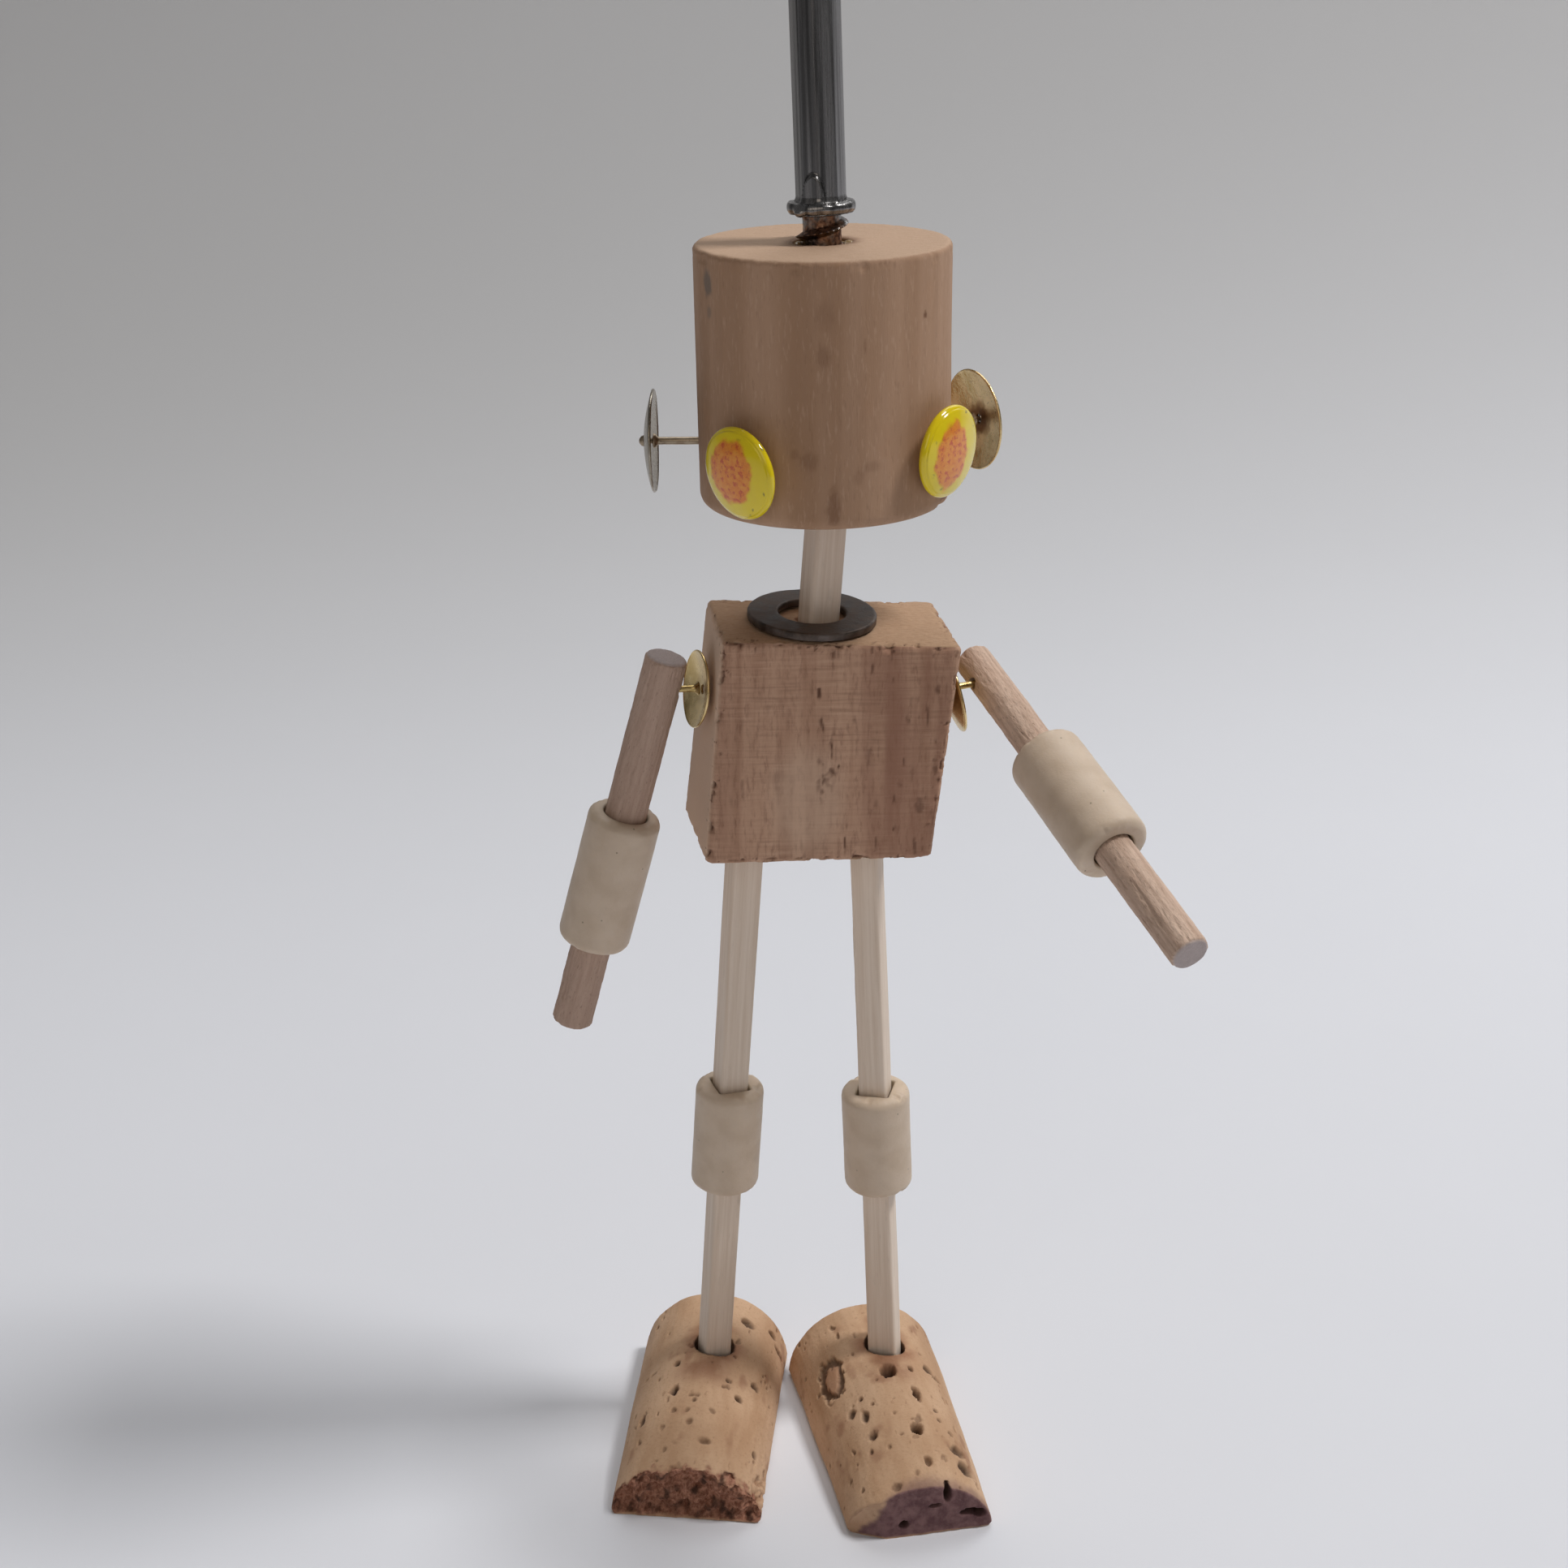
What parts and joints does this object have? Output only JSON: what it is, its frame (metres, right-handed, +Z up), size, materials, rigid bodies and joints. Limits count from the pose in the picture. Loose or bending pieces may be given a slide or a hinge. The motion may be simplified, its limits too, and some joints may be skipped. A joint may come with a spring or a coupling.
{
  "type": "craft stick puppet",
  "caption": "Upright stick puppet of wood offcuts with a cylinder head, sawn block body, swinging dowel arms, cork feet and a steel holding rod.",
  "frame": {"origin": "centre of the bounding box on the floor, under the figure", "axes": "+Z up along the figure's height, the figure faces -Y, and its own right hand is on -X"},
  "size_m": [0.0824, 0.0594, 0.2419],
  "materials": {
    "turned_wood": "bare turned wood, dry",
    "sawn_wood": "rough sawn, dark and open grained",
    "stick_wood": "pale bare softwood",
    "dowel_wood": "weathered fuzzy dowel",
    "tube_plastic": "matte cream",
    "brass": "worn polish",
    "pin_steel": "dull drawn wire",
    "yellow_enamel": "glossy yellow enamel worn to orange in the middle",
    "washer_steel": "dark oxidised",
    "rod_steel": "polished, with ground flats",
    "cork": "natural cork with pits"
  },
  "bodies": {
    "torso": {"torso_block": "sawn_wood", "neck_stick": "stick_wood", "right_leg_stick": "stick_wood", "left_leg_stick": "stick_wood", "right_shoulder_shell": "brass", "right_shoulder_pin": "pin_steel", "left_shoulder_shell": "brass", "left_shoulder_pin": "pin_steel"},
    "head": {"head_block": "turned_wood", "control_rod": "rod_steel", "right_eye_cap": "yellow_enamel", "right_eye_pin": "pin_steel", "right_ear_shell": "brass", "right_ear_pin": "pin_steel", "left_eye_cap": "yellow_enamel", "left_eye_pin": "pin_steel", "left_ear_shell": "brass", "left_ear_pin": "pin_steel"},
    "washer": {"neck_washer": "washer_steel"},
    "right_arm": {"right_arm_dowel": "dowel_wood"},
    "right_elbow": {"right_elbow_tube": "tube_plastic"},
    "right_knee": {"right_knee_tube": "tube_plastic"},
    "right_foot": {"right_foot_cork": "cork"},
    "left_arm": {"left_arm_dowel": "dowel_wood"},
    "left_elbow": {"left_elbow_tube": "tube_plastic"},
    "left_knee": {"left_knee_tube": "tube_plastic"},
    "left_foot": {"left_foot_cork": "cork"}
  },
  "joints": [
    {"name": "head_turn", "type": "hinge", "parent": "torso", "child": "head", "pos_m": [-0.0043, 0.01382, 0.1263], "axis": [0.0663, 0, 0.9978], "continuous": true},
    {"name": "washer_slide", "type": "slide", "parent": "torso", "child": "washer", "axis": [0.0663, 0, 0.9978], "range_m": [0, 0.014]},
    {"name": "right_shoulder", "type": "hinge", "parent": "torso", "child": "right_arm", "pos_m": [-0.02525, 0.01022, 0.1181], "axis": [-0.9861, -0.165, 0.02], "continuous": true},
    {"name": "right_elbow_slide", "type": "slide", "parent": "right_arm", "child": "right_elbow", "axis": [0.2579, -0.03, 0.9657], "range_m": [-0.013, 0.012]},
    {"name": "right_knee_slide", "type": "slide", "parent": "torso", "child": "right_knee", "axis": [0.0622, 0, 0.9981], "range_m": [-0.027, 0.037]},
    {"name": "right_foot_turn", "type": "hinge", "parent": "torso", "child": "right_foot", "pos_m": [-0.0198, 0.01462, 0.0036], "axis": [0.0622, 0, 0.9981], "range_deg": [-3, 12]},
    {"name": "left_shoulder", "type": "hinge", "parent": "torso", "child": "left_arm", "pos_m": [0.0185, 0.01612, 0.1172], "axis": [0.9314, 0.3605, 0.0501], "range_deg": [-95, 160]},
    {"name": "left_elbow_slide", "type": "slide", "parent": "left_arm", "child": "left_elbow", "axis": [-0.3913, 0.8534, 0.3444], "range_m": [-0.018, 0.009]},
    {"name": "left_knee_slide", "type": "slide", "parent": "torso", "child": "left_knee", "axis": [-0.0479, 0, 0.9989], "range_m": [-0.027, 0.037]},
    {"name": "left_foot_turn", "type": "hinge", "parent": "torso", "child": "left_foot", "pos_m": [0.0068, 0.01462, 0.0036], "axis": [-0.0479, 0, 0.9989], "range_deg": [-12, 5]}
  ]
}
